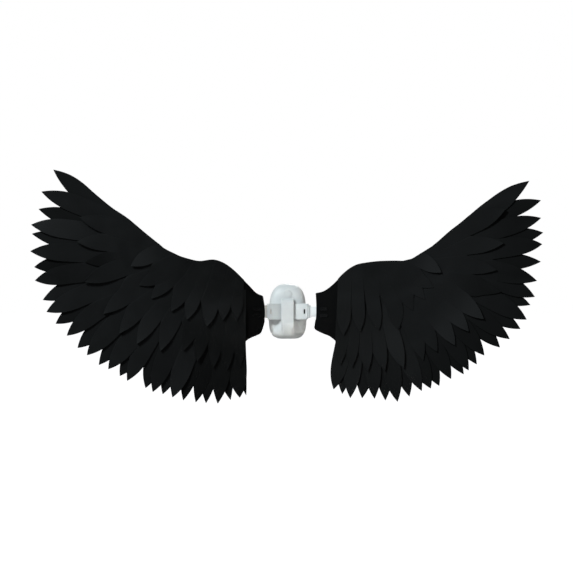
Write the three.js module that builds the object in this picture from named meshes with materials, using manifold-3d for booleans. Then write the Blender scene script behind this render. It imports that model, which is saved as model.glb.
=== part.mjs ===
// Motorized costume wings. A white motor housing is worn on the back. Two arms
// swing on upright pins inside its spine, and a wing of layered black foam
// feathers plugs into each arm.
// Millimetres, +Z up. The wearer is at +Y, the show side of the feathers at -Y.
// The origin is the middle of the housing's flat back face.
import * as THREE from 'three';
import { mergeVertices } from 'three/addons/utils/BufferGeometryUtils.js';
import Module from 'manifold-3d';

const wasm = await Module();
wasm.setup();

// ---------------------------------------------------------------- dimensions
const GAP = 0.4;                    // clearance between neighbouring pieces

// Housing shell: outline in XZ, depth towards -Y.
const SHELL_HALF_WIDTH = 37.6;
const SHELL_TOP = 57;
const SHELL_BOTTOM = -57;
const SHELL_MIDDLE = 5;             // where the dome meets the lower part
const SHELL_CENTRE = -8;            // the front rounds off towards this height
const DOME_POWER = 2.6;             // how square the dome's outline is
const FOOT_POWER = 4;               // how square the lower outline is
const FOOT_WIDEN = 0.05;            // how much wider the lower part is than the dome
const FOOT_RAMP = 28;               // the height over which it widens
const SHELL_WALL = 2.4;
const SHELL_STEPS = 30;
// Depth and outline scale of each section, back to front.
const SHELL_SECTIONS = table(['y', 'scale'], [
  [0, 0.985], [-3, 1], [-15, 1], [-22, 0.972], [-27.5, 0.915],
  [-31.5, 0.815], [-33.6, 0.67], [-34.2, 0.5],
]);
const PLATE_THICK = 2.5;

// Spine: side profile from its foot to its head, and the flare at its foot.
const SPINE_HALF_WIDTH = 13;
const SPINE_BEVEL = 1.3;
const SPINE_WEB = 5.5;              // half width of the web between the pockets
const SPINE_PROFILE = table(['z', 'y'], [
  [-56, -16], [-56, -28], [-55, -33], [-53, -36.6], [-50, -39.5], [-44, -43.8], [-38, -47.2], [-32, -49.6],
  [-27, -50.7], [-22, -51], [18.5, -51], [21, -50], [23.5, -46.5], [25.5, -40], [26.5, -32],
]);
const FLARE_SECTIONS = table(['z', 'half', 'front'], [
  [-17.8, 18.5, -50.4], [-20, 20, -50.4], [-26, 24, -50.2], [-32, 27, -49], [-38, 29.5, -46.6],
  [-44, 30.5, -43.2], [-50, 29, -38.9], [-55, 24, -32.4],
]);
const FLARE_FLAT = 11.5;            // half width of its middle, from which the flanks sweep out
const FLARE_SWEEP = 2.2;            // how hollow the flanks are
const FLARE_BACK = -26;
const DISC_RADIUS = 8.5;
const DISC_HEIGHT = 36.4;
const DISC_FRONT = -35.2;

// Hinges and arms. An arm lies along the wing's own u axis.
const HINGE_X = 10.6;
const HINGE_Y = -39.2;
const SPREAD = 12;                  // degrees that each wing stands towards -Y
const PIN_RADIUS = 1.4;
const PIN_BORE = 1.9;
const PIN_TOP = 20.8;
const PIN_BOTTOM = -21.4;
const ARM_HALF_THICK = 4.5;
const ARM_TOP = 16.2;
const ARM_BOTTOM = -16.8;
const ARM_END = 32.6;
const ARM_CHAMFER = 5;
const SOCKET_START = 13;
const SOCKET_HALF_HEIGHT = 10.4;
const SOCKET_HALF_THICK = 2;
const SLOT_AT = 25.2;
const SLOT_WIDE = 3.4;
const SLOT_TALL = 10.5;
const LIP_START = 33;
const LIP_END = 37;
const LIP_TOP = 12.8;
const LIP_BOTTOM = -13.2;
const LIP_HALF_THICK = 3.7;
const TONGUE_START = 14;
const TONGUE_HALF_HEIGHT = 10;
const TONGUE_HALF_THICK = 1.6;
const PAD_REACH = 9;          // the tongue widens into a pad this far before the rivets
const PAD_TOP = 10.6;
const PAD_BOTTOM = -13.6;
const RIVET_LONG = 16;
const RIVET_TALL = 7;
const RIVET_SHANK = 2.2;
const RIVET_HEIGHTS = { upper: 5.4, lower: -8.4 };

// Foam layers: back face and thickness, counted from the arm's middle plane
// towards the show side.
const FOAM = 2.2;
const LAYERS = { panel: 2, back: 5, front: 7.7, middle: 10.4, upper: 13.1 };

// Feather blades: length of each row, and the shape of the blade.
const FLIGHT_LENGTH = 170;
const MIDDLE_LENGTH = 151;
const UPPER_LENGTH = 106;
const BLADE_WIDEST = 0.55;          // fraction of the length from the root
const BLADE_FULL = 2.5;             // power of the taper to the tip
const BLADE_SKEW = 0.1;             // bow of the covert blades
const BLADE_STATIONS = [0.25, 0.55, 0.72, 0.85, 0.94];

// One row for each feather, from the wing tip to the root: u is the tip's
// distance from the hinge, z its height, aim its direction in degrees above
// outward, wide the blade's width, skew the bow of the blade, front the layer.
const FLIGHT = ['u', 'z', 'aim', 'wide', 'skew', 'front'];
const COVERT = ['u', 'z', 'aim', 'wide'];
const EDGE = ['u', 'z'];

const LEFT = {
  side: -1, name: 'left', rivetAt: 55, tongueEnd: 74, feathersFrom: 76.5,
  flights: table(FLIGHT, [
    [467.8, 284.4, 44.8, 35.4, 0.25, 1], [491.6, 240.3, 22.1, 37.3, 0.1, 1],
    [497, 205.6, 16.4, 37.3, 0.03, 0], [511.9, 174.2, 6.9, 38.9, 0.01, 1],
    [510.2, 156.3, 13.8, 36.3, 0.14, 0], [513.6, 121.5, 2.7, 37.6, 0.05, 1],
    [505.7, 90.2, -3.9, 39.2, 0.1, 0], [504.3, 63.3, -5.1, 39.1, 0.22, 1],
    [488.8, 24.6, -23.9, 39.9, -0.02, 0], [481.4, 0.8, -22.3, 39.9, 0.08, 1],
    [463.4, -22.8, -25.7, 40, 0.22, 0], [441.4, -46.7, -34.2, 37.6, 0.22, 1],
    [419.9, -71.5, -43.4, 40.1, -0.02, 0], [401.4, -86.1, -44.9, 40.2, 0.1, 1],
    [377.5, -106, -50.9, 39.5, 0.05, 0], [358.8, -114.5, -47.8, 39.7, 0.19, 1],
    [335.4, -128.5, -58.3, 40.5, -0.01, 0], [320.9, -138.2, -58.8, 37.5, 0.14, 1],
    [283.5, -153.5, -72.4, 39.8, 0, 0], [269.4, -161.3, -65, 39.4, 0.15, 1],
    [248.8, -166.5, -67.3, 38.5, 0.15, 0], [229.2, -172.8, -67.2, 41, 0.15, 1],
    [207, -179.7, -73.3, 36.1, 0.1, 0], [181.3, -184.1, -75.3, 35.4, 0, 0],
    [160.3, -186, -79.7, 35.1, 0.17, 0], [136.3, -187.1, -77.8, 39.3, 0.21, 1],
    [109.5, -180.3, -95.6, 35.2, 0.25, 0], [90.7, -175.8, -90.6, 40.8, 0.17, 1],
    [76.9, -171.7, -100.6, 26.2, 0.12, 0],
  ]),
  middle: table(COVERT, [
    [417.4, 188.2, 19.6, 36.1], [422.3, 140.3, 3.7, 36], [405.5, 100.4, -3.2, 34.1],
    [408.4, 60.5, -18.1, 38], [371.6, -2.6, -28.9, 36.2], [335.6, -42.8, -39.8, 36.3],
    [303.4, -66.2, -46.7, 36.5], [259, -83.7, -59.8, 36.6], [212.2, -85.1, -63.7, 32.7],
    [179.5, -100.6, -74.8, 32.9], [146.7, -114.2, -80.9, 30.9], [117.8, -118.6, -84.9, 31],
    [90.9, -114.8, -89, 27],
  ]),
  upper: table(COVERT, [
    [313.8, 92.7, -25.1, 32.2], [297.7, 53.5, -22, 30.2], [271.5, 25.3, -33.8, 30.3],
    [239, -2, -42.7, 30.5], [200.4, -16.3, -61.7, 32.7], [159.4, -31.7, -73.8, 32.9],
    [124.5, -27.8, -78.8, 31], [93.5, -29, -85.9, 26.9],
  ]),
  leading: table(EDGE, [
    [465.8, 285.5], [444.7, 277.7], [414.8, 262.1], [374.9, 229.6], [349.1, 209],
    [318.9, 189.1], [274.6, 152.3], [244.4, 127.4], [214.1, 113.5], [193.9, 107.9],
    [173.7, 103.6], [153.4, 106.7], [140.6, 106.7], [121.7, 99.5], [100.9, 84.2],
    [80.1, 63.8], [55.3, 38.4], [45.2, 34.4],
  ]),
  tab: table(EDGE, [
    [41.5, 32], [38.6, 15.6], [37.8, 3.3], [38, -13.2], [37.9, -21.4], [41.5, -33.7],
    [45.6, -44.9], [57.1, -50], [67.6, -54], [77.5, -60.1],
  ]),
};

const RIGHT = {
  side: 1, name: 'right', rivetAt: 66, tongueEnd: 88, feathersFrom: 91.5,
  flights: table(FLIGHT, [
    [482.5, 261.8, 42.1, 37.3, 0.25, 1], [505.3, 222.8, 20.6, 33.8, 0.17, 0],
    [505.6, 187.9, 15.2, 35.9, 0.02, 1], [509.7, 158.8, 7.7, 39.2, -0.03, 0],
    [507.9, 135.6, 10.1, 38.9, 0.2, 1], [505.2, 100.8, 2.3, 35.9, 0.12, 0],
    [497.6, 62.7, -11.7, 39.8, 0.1, 1], [493.4, 30.8, -24.7, 39.8, 0, 1],
    [484.5, 14.7, -16.3, 37.3, 0.14, 0], [477.3, -14.4, -27.1, 39.9, 0.12, 1],
    [464.9, -33.2, -23.4, 36, 0.24, 0], [443.8, -53.6, -37.2, 36, -0.03, 1],
    [424.3, -70.4, -41.9, 37.4, 0.1, 0], [393.4, -86.6, -47.9, 40.2, 0.12, 1],
    [378.2, -104.8, -57.9, 37, -0.04, 0], [362.2, -116.9, -58.2, 39.4, 0.1, 1],
    [352.1, -125, -54.7, 36.5, 0.06, 0], [326.7, -134.6, -56, 37.2, 0.25, 1],
    [302.8, -148.9, -68.2, 38.9, -0.1, 0], [285.9, -154.4, -61.3, 41.7, 0.15, 1],
    [267.6, -159.8, -65.5, 37, 0.03, 1], [242.4, -171.3, -71.2, 38.2, 0.17, 0],
    [218.3, -182.4, -77.4, 38.2, 0.1, 1], [193.4, -180.1, -86.5, 36.9, 0.03, 0],
    [171.4, -177.2, -81.9, 37.7, 0.17, 1], [145.6, -176.3, -90.5, 39.8, 0.17, 0],
    [121.3, -176.5, -93.5, 38.5, 0.03, 1], [104.4, -168.2, -91.3, 36.2, 0.15, 0],
    [87, -158.8, -101, 36.3, 0.1, 1],
  ]),
  middle: table(COVERT, [
    [440.6, 201, 19.6, 38.1], [432.7, 137.2, 4.7, 36], [418.8, 84.4, -6.2, 34],
    [393, -13.5, -36, 38.1], [363.1, -38.7, -45.9, 36.2], [336.1, -66.9, -53.9, 36.3],
    [299.9, -80.3, -58.8, 36.5], [271.6, -97.7, -68.9, 34.5], [232.1, -114.2, -73.9, 36.7],
    [195.4, -119.7, -82.9, 34.8], [158.5, -121.2, -89, 32.9], [127.7, -113.4, -96.1, 32.9],
    [102.9, -108.5, -96.1, 28.9],
  ]),
  upper: table(COVERT, [
    [308.2, 79.6, -28.1, 32.2], [293.1, 49.5, -23, 30.2], [275, 25.3, -45.9, 28.3],
    [250.7, 3.1, -59.8, 30.4], [220.3, -36.4, -77.9, 32.6], [184.6, -44.7, -83.9, 32.7],
    [141.5, -44, -93, 30.8], [108.5, -49.3, -97.1, 30.9],
  ]),
  leading: table(EDGE, [
    [479.1, 262], [464, 258.6], [444.1, 250.8], [404.3, 227.3], [364.4, 195.7],
    [324.4, 164], [284.3, 130.1], [264.1, 118.2], [248.1, 108.2], [234.1, 103.4],
    [218.3, 104.5], [189.6, 104.2], [152.6, 100.6], [135.9, 97.6], [121.2, 90.3],
    [96.1, 67.8], [73.5, 47.6], [63.5, 41.6], [51.7, 39.4],
  ]),
  tab: table(EDGE, [
    [48.8, 38], [50, 15.6], [50.2, -0.8], [49.6, -11.1], [47.3, -21.3], [45.2, -35.7],
    [56.7, -41.8], [67.1, -46.4], [77.5, -49.8], [90.4, -60],
  ]),
};

// ------------------------------------------------------------------ finishes
const WHITE = { color: 0xe6e9ea, roughness: 0.42, metalness: 0 };
const BLACK_FOAM = { color: 0x131416, roughness: 0.92, metalness: 0 };
const DARK = { color: 0x202224, roughness: 0.6, metalness: 0 };
const PALE = { color: 0xbfbab2, roughness: 0.55, metalness: 0 };
const STEEL = { color: 0x9a9ea3, roughness: 0.35, metalness: 1 };

// ------------------------------------------------------------------- helpers
function table(columns, rows) {
  return rows.map((row) => Object.fromEntries(columns.map((name, i) => [name, row[i]])));
}

// A closed three.js geometry as a solid that can be joined and cut, and back.
function solid(geometry) {
  const bare = geometry.index ? geometry.toNonIndexed() : geometry.clone();
  bare.deleteAttribute('normal');
  bare.deleteAttribute('uv');
  const merged = mergeVertices(bare, 1e-4);
  const triVerts = new Uint32Array(merged.index.array);
  const vertProperties = merged.attributes.position.array;
  return new wasm.Manifold(new wasm.Mesh({ numProp: 3, vertProperties, triVerts }));
}

function surface(body) {
  const mesh = body.getMesh();
  const geometry = new THREE.BufferGeometry();
  geometry.setAttribute('position', new THREE.BufferAttribute(new Float32Array(mesh.vertProperties), 3));
  geometry.setIndex(new THREE.BufferAttribute(new Uint32Array(mesh.triVerts), 1));
  const flat = geometry.toNonIndexed();
  flat.computeVertexNormals();
  return flat;
}

const joined = (bodies) => bodies.reduce((all, one) => all.add(one));
const without = (body, cutters) => cutters.reduce((left, one) => left.subtract(one), body);

function mesh(name, geometry, finish) {
  const made = new THREE.Mesh(geometry, new THREE.MeshStandardMaterial(finish));
  made.name = name;
  return made;
}

// A box between two corners.
function block(from, to) {
  const size = to.map((v, i) => v - from[i]);
  const geometry = new THREE.BoxGeometry(...size);
  geometry.translate(...from.map((v, i) => v + size[i] / 2));
  return geometry;
}

// A flat plate: an outline in the wing's plane, from one depth to another.
function plate(outline, from, thick) {
  const geometry = new THREE.ExtrudeGeometry(new THREE.Shape(outline), { depth: thick, bevelEnabled: false });
  geometry.translate(0, 0, from);
  return geometry;
}

// A skin over rings of equal count, closed by a fan at each end.
function skin(rings) {
  const count = rings[0].length;
  const points = rings.flat();
  const middle = (ring) => ring.reduce((sum, p) => sum.add(p), new THREE.Vector3()).divideScalar(count);
  points.push(middle(rings[0]), middle(rings[rings.length - 1]));
  const faces = [];
  for (let k = 0; k < count; k++) {
    const next = (k + 1) % count;
    faces.push(points.length - 2, next, k);
    for (let r = 0; r + 1 < rings.length; r++) {
      const a = r * count + k, b = r * count + next;
      faces.push(a, b, b + count, a, b + count, a + count);
    }
    const last = (rings.length - 1) * count;
    faces.push(points.length - 1, last + k, last + next);
  }
  let volume = 0;
  for (let i = 0; i < faces.length; i += 3) {
    const [a, b, c] = [points[faces[i]], points[faces[i + 1]], points[faces[i + 2]]];
    volume += a.dot(new THREE.Vector3().crossVectors(b, c));
  }
  if (volume < 0) faces.reverse();
  const geometry = new THREE.BufferGeometry().setFromPoints(points);
  geometry.setIndex(faces);
  const flat = geometry.toNonIndexed();
  flat.computeVertexNormals();
  return flat;
}

// ------------------------------------------------------------------- housing
// The shell's outline at one depth, scaled towards its centre.
function shellRing(y, scale) {
  return Array.from({ length: SHELL_STEPS }, (_, k) => {
    const angle = (2 * Math.PI * (k + 0.5)) / SHELL_STEPS;
    const [c, s] = [Math.cos(angle), Math.sin(angle)];
    const power = 2 / (s > 0 ? DOME_POWER : FOOT_POWER);
    const rise = s > 0 ? SHELL_TOP - SHELL_MIDDLE : SHELL_MIDDLE - SHELL_BOTTOM;
    const x = SHELL_HALF_WIDTH * Math.sign(c) * Math.abs(c) ** power;
    const z = SHELL_MIDDLE + rise * Math.sign(s) * Math.abs(s) ** power;
    const widen = 1 + FOOT_WIDEN * THREE.MathUtils.smoothstep(SHELL_MIDDLE - z, 0, FOOT_RAMP);
    return new THREE.Vector3(scale * widen * x, y, SHELL_CENTRE + scale * (z - SHELL_CENTRE));
  });
}

const inset = (distance) => distance / SHELL_HALF_WIDTH;
const deeper = (section) => section.y < -20 ? (-20 - section.y) / 14.2 : 0;   // 0 at the side wall, 1 at the front
const outerRings = SHELL_SECTIONS.map((s) => shellRing(s.y, s.scale));
const innerRings = SHELL_SECTIONS.map((s) => shellRing(s.y + SHELL_WALL * deeper(s), s.scale - inset(SHELL_WALL)));
const shellGeometry = skin([...innerRings.slice().reverse(), ...outerRings]);
const shellRoom = solid(skin(SHELL_SECTIONS.map((s) => shellRing(s.y - GAP * deeper(s), s.scale + inset(GAP)))));

const plateRing = (y) => shellRing(y, SHELL_SECTIONS[0].scale - inset(SHELL_WALL + 2 * GAP));
const plateGeometry = skin([plateRing(0), plateRing(-PLATE_THICK)]);

// The spine: its side profile drawn across the housing, joined with the flare.
const profile = new THREE.Shape(SPINE_PROFILE.map((p) => new THREE.Vector2(p.y, p.z)));
const spineBar = new THREE.ExtrudeGeometry(profile, {
  depth: 2 * (SPINE_HALF_WIDTH - SPINE_BEVEL), bevelEnabled: true, bevelThickness: SPINE_BEVEL,
  bevelSize: SPINE_BEVEL, bevelOffset: -SPINE_BEVEL, bevelSegments: 1,
});
spineBar.translate(0, 0, -(SPINE_HALF_WIDTH - SPINE_BEVEL));
spineBar.applyMatrix4(new THREE.Matrix4().makeBasis(
  new THREE.Vector3(0, 1, 0), new THREE.Vector3(0, 0, 1), new THREE.Vector3(1, 0, 0)));

const flareRing = ({ z, half, front }) => {
  const side = [0, 0.12, 0.3, 0.6, 1].map((t) => ({
    x: FLARE_FLAT + t * (half - FLARE_FLAT), y: FLARE_BACK + (front - FLARE_BACK) * (1 - t) ** FLARE_SWEEP }));
  return [
    ...side.slice().reverse().map((p) => new THREE.Vector3(-p.x, p.y, z)),
    ...side.map((p) => new THREE.Vector3(p.x, p.y, z)),
  ];
};
const flare = skin(FLARE_SECTIONS.map(flareRing));

function pinBar(side, radius, from, to, sides) {
  const bar = new THREE.CylinderGeometry(radius, radius, to - from, sides);
  bar.rotateX(Math.PI / 2);
  bar.translate(side * HINGE_X, HINGE_Y, (from + to) / 2);
  return bar;
}

const pockets = [-1, 1].map((side) => solid(block(
  [side < 0 ? -30 : SPINE_WEB, HINGE_Y - 9.4, ARM_BOTTOM - GAP],
  [side < 0 ? -SPINE_WEB : 30, -25, ARM_TOP + GAP])));
const pinHoles = [-1, 1].map((side) => solid(pinBar(side, PIN_RADIUS + GAP, PIN_BOTTOM - GAP, PIN_TOP + GAP, 12)));
const spineBody = without(joined([solid(spineBar), solid(flare)]), [shellRoom, ...pockets, ...pinHoles]);

// The bare disc on the dome, its back cut to the shell.
const discBar = new THREE.CylinderGeometry(DISC_RADIUS, DISC_RADIUS, 20, 28);
discBar.translate(0, DISC_FRONT + 10, DISC_HEIGHT);
const discBody = without(solid(discBar), [shellRoom]);

const housing = new THREE.Group();
housing.add(
  mesh('housing_shell', shellGeometry, WHITE),
  mesh('back_plate', plateGeometry, WHITE),
  mesh('spine_cover', surface(spineBody), WHITE),
  mesh('plain_disc', surface(discBody), WHITE),
  mesh('left_hinge_pin', pinBar(-1, PIN_RADIUS, PIN_BOTTOM, PIN_TOP, 12), STEEL),
  mesh('right_hinge_pin', pinBar(1, PIN_RADIUS, PIN_BOTTOM, PIN_TOP, 12), STEEL),
);

// --------------------------------------------------------------------- wings
// Points of a blade, at a fraction t of its length, across from its middle.
function bladePoint(row, length, t, across) {
  const aim = THREE.MathUtils.degToRad(row.aim);
  const taper = Math.max(0, (t - BLADE_WIDEST) / (1 - BLADE_WIDEST));
  const grow = Math.min(1, t / BLADE_WIDEST);
  const half = 0.5 * row.wide * (t < BLADE_WIDEST
    ? 0.62 + 0.38 * Math.sin(0.5 * Math.PI * grow) : 1 - taper ** BLADE_FULL);
  const bow = (row.skew ?? BLADE_SKEW) * row.wide * (t ** 3 - 1);
  const along = -(1 - t) * length, over = bow + across * half;
  return new THREE.Vector2(
    row.u + along * Math.cos(aim) + over * Math.sin(aim),
    row.z + along * Math.sin(aim) - over * Math.cos(aim));
}

function bladeOutline(row, length) {
  const edge = (across) => BLADE_STATIONS.map((t) => bladePoint(row, length, t, across));
  return [...edge(-1), bladePoint(row, length, 1, 0), ...edge(1).reverse()];
}

function makeWing({ side, name, flights, middle, upper, leading, tab, feathersFrom, rivetAt, tongueEnd }) {
  // The wing's plane: x runs along the wing, y up, z towards the show side.
  const lay = (points) => points.map((p) => new THREE.Vector2(side * p.x, p.y));
  const spread = (outline, from, thick = FOAM) => solid(plate(lay(outline), from, thick));
  const corners = (rows) => rows.map((p) => new THREE.Vector2(p.u, p.z));
  const bar = (from, to) => {
    const [a, b] = [side * from[0], side * to[0]];
    return solid(block([Math.min(a, b), from[1], from[2]], [Math.max(a, b), to[1], to[2]]));
  };
  const rod = (radius, u, z, from, to, sides = 10) => {
    const made = new THREE.CylinderGeometry(radius, radius, to - from, sides);
    made.rotateX(Math.PI / 2);
    made.translate(side * u, z, (from + to) / 2);
    return solid(made);
  };

  // Everything above the leading edge is cut away from the feather rows.
  const rim = corners(leading);
  const above = [...rim, new THREE.Vector2(rim[rim.length - 1].x, 420), new THREE.Vector2(rim[0].x, 420)];
  const trim = (layer) => spread(above, LAYERS[layer] - 1, FOAM + 2);

  // A row of blades on the strip that joins their roots.
  const spine = (rows, length, t) => rows.map((row) => bladePoint(row, length, t, 0));
  function featherRow(layer, rows, length, strip) {
    const blades = rows.map((row) => spread(bladeOutline(row, length), LAYERS[layer]));
    return without(joined([...blades, spread(strip, LAYERS[layer])]), [trim(layer)]);
  }
  const rootStrip = (rows, length) => [...spine(rows, length, 0.06), ...spine(rows, length, 0.62).reverse()];
  const rimStrip = (rows, length, reach) => [
    ...rim.filter((p) => p.x < reach && p.x > feathersFrom + 2),
    new THREE.Vector2(feathersFrom, rim.find((p) => p.x <= feathersFrom + 4).y),
    ...spine(rows, length, 0.62).reverse(),
  ];

  const backRows = flights.filter((row) => !row.front);
  const frontRows = flights.filter((row) => row.front);

  // The base sheet reaches half way down the flight feathers and carries the tab.
  const sheet = [
    ...rim.map((p) => new THREE.Vector2(p.x, p.y - 2)).filter((p) => p.x < 420),
    ...corners(tab),
    ...spine(flights, FLIGHT_LENGTH, 0.5).reverse(),
  ];
  const rivets = Object.entries(RIVET_HEIGHTS);
  const holes = (from, to) => rivets.map(([, z]) => rod(RIVET_SHANK + GAP, rivetAt, z, from, to));
  const panel = without(spread(sheet, LAYERS.panel), holes(LAYERS.panel - 1, LAYERS.panel + FOAM + 1));
  const tongue = without(
    joined([
      bar([TONGUE_START, -TONGUE_HALF_HEIGHT, -TONGUE_HALF_THICK], [tongueEnd, TONGUE_HALF_HEIGHT, TONGUE_HALF_THICK]),
      bar([rivetAt - PAD_REACH, PAD_BOTTOM, -TONGUE_HALF_THICK], [tongueEnd, PAD_TOP, TONGUE_HALF_THICK])]),
    holes(-TONGUE_HALF_THICK - 1, TONGUE_HALF_THICK + 1));

  // An oblong head on the tab, a shank through tab and tongue, a round head behind.
  const headAt = LAYERS.panel + FOAM + GAP;
  function rivet(z) {
    const [half, end] = [RIVET_LONG / 2 - RIVET_TALL / 2, RIVET_TALL / 2];
    const outline = Array.from({ length: 16 }, (_, k) => {
      const angle = (2 * Math.PI * (k + 0.5)) / 16;
      return new THREE.Vector2(
        rivetAt + Math.sign(Math.cos(angle)) * half + end * Math.cos(angle), z + end * Math.sin(angle));
    });
    const foot = -TONGUE_HALF_THICK - GAP;
    return joined([
      spread(outline, headAt, 1.6), rod(RIVET_SHANK, rivetAt, z, foot - 1, headAt + 0.5),
      rod(RIVET_TALL / 2, rivetAt, z, foot - 1.4, foot)]);
  }

  // The arm: a knuckle on the pin and a socket with a latch slot, and its lip.
  const armOutline = (from, to, top, bottom, chamfer) => [
    [from, top], [to, top], [to, bottom + chamfer], [to - 0.6 * chamfer, bottom], [from, bottom],
  ].map((p) => new THREE.Vector2(...p));
  const knuckle = new THREE.CylinderGeometry(ARM_HALF_THICK, ARM_HALF_THICK, ARM_TOP - ARM_BOTTOM, 24);
  knuckle.translate(0, (ARM_TOP + ARM_BOTTOM) / 2, 0);
  const bore = new THREE.CylinderGeometry(PIN_BORE, PIN_BORE, 60, 16);
  const arm = without(
    joined([spread(armOutline(0, ARM_END, ARM_TOP, ARM_BOTTOM, ARM_CHAMFER), -ARM_HALF_THICK, 2 * ARM_HALF_THICK), solid(knuckle)]),
    [
      solid(bore),
      bar([SOCKET_START, -SOCKET_HALF_HEIGHT, -SOCKET_HALF_THICK], [ARM_END + 5, SOCKET_HALF_HEIGHT, SOCKET_HALF_THICK]),
      bar([SLOT_AT - SLOT_WIDE / 2, -SLOT_TALL / 2, 0], [SLOT_AT + SLOT_WIDE / 2, SLOT_TALL / 2, 10]),
    ]);
  const lip = without(
    spread(armOutline(LIP_START, LIP_END, LIP_TOP, LIP_BOTTOM, 2), -LIP_HALF_THICK, 2 * LIP_HALF_THICK),
    [bar([LIP_START - 5, -SOCKET_HALF_HEIGHT, -SOCKET_HALF_THICK], [LIP_END + 5, SOCKET_HALF_HEIGHT, SOCKET_HALF_THICK])]);
  const latch = bar(
    [SLOT_AT - SLOT_WIDE / 2 + GAP, -SLOT_TALL / 2 + GAP, TONGUE_HALF_THICK + GAP],
    [SLOT_AT + SLOT_WIDE / 2 - GAP, SLOT_TALL / 2 - GAP, ARM_HALF_THICK - 0.8]);

  const face = new THREE.Group();
  face.rotation.x = Math.PI / 2;
  face.add(
    mesh(name + '_arm', surface(arm), WHITE),
    mesh(name + '_arm_lip', surface(lip), side < 0 ? PALE : WHITE),
    mesh(name + '_latch_tab', surface(latch), side < 0 ? PALE : DARK),
    mesh(name + '_tongue', surface(tongue), WHITE),
    mesh(name + '_wing_panel', surface(panel), BLACK_FOAM),
    ...rivets.map(([where, z]) => mesh(`${name}_${where}_rivet`, surface(rivet(z)), DARK)),
    mesh(name + '_back_flights', surface(featherRow('back', backRows, FLIGHT_LENGTH, rootStrip(backRows, FLIGHT_LENGTH))), BLACK_FOAM),
    mesh(name + '_front_flights', surface(featherRow('front', frontRows, FLIGHT_LENGTH, rootStrip(frontRows, FLIGHT_LENGTH))), BLACK_FOAM),
    mesh(name + '_middle_coverts', surface(featherRow('middle', middle, MIDDLE_LENGTH, rimStrip(middle, MIDDLE_LENGTH, 400))), BLACK_FOAM),
    mesh(name + '_upper_coverts', surface(featherRow('upper', upper, UPPER_LENGTH, rimStrip(upper, UPPER_LENGTH, 300))), BLACK_FOAM),
  );
  const swing = new THREE.Group();
  swing.position.set(side * HINGE_X, HINGE_Y, 0);
  swing.rotation.z = THREE.MathUtils.degToRad(-side * SPREAD);
  swing.add(face);
  return swing;
}

const wings = new THREE.Group();
wings.add(housing, makeWing(LEFT), makeWing(RIGHT));

export default wings;
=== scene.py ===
import math

import bmesh
import bpy
import numpy as np
from mathutils import Matrix


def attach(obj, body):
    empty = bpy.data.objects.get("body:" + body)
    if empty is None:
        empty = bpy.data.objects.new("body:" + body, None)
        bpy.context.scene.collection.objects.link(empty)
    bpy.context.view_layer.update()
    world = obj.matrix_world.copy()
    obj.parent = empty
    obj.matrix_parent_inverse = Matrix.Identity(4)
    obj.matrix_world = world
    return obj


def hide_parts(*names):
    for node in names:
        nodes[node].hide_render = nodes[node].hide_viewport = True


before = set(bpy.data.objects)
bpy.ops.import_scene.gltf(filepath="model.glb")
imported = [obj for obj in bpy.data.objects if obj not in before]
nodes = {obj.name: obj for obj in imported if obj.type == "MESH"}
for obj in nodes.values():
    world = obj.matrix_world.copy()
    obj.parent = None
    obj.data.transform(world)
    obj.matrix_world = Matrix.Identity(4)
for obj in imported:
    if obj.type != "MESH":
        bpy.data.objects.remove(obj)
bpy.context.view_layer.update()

# ---------------------------------------------------------------- dimensions
MM = 0.001
HINGE_X, HINGE_Y = 10.6, -39.2
SPREAD = math.radians(12)

FOAM = 1.9                   # thickness of a feather
REST_GAP = 0.15              # room between a feather and what it lies on
PANEL_BACK, PANEL_FRONT = 2.0, 4.2
WIDEST = 0.55                # where a blade is widest, from its root
EDGE_ROUND = 0.55            # rounding of a cut foam edge

FLIGHT_LENGTH, MIDDLE_LENGTH, UPPER_LENGTH = 170.0, 151.0, 106.0


def table(columns, rows):
    return [dict(zip(columns, row)) for row in rows]


# One row for each feather, from the wing tip to the root: u and z of its tip, aim
# in degrees above outward, wide, skew the bow of the blade, full the power of its
# taper, front the layer, lift how far its loose edge stands off, tone its brightness:
# painted shade and painted light for how each feather lies to the light, darker on
# the sunken back flights, with a small random difference added for each feather.
FLIGHT = ("u", "z", "aim", "wide", "skew", "full", "front", "lift", "tone")
# long is how far a covert runs back from its tip towards the leading edge, and slit
# how far it is cut free of its neighbour. Turn bends its root up to the leading edge,
# sink presses its tip into the row below, and fill is how far it may grow on its outer
# and inner side to meet a neighbour that lies over it.
COVERT = ("u", "z", "aim", "wide", "long", "lift", "slit", "tone", "turn", "sink", "skew", "fill")

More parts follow.
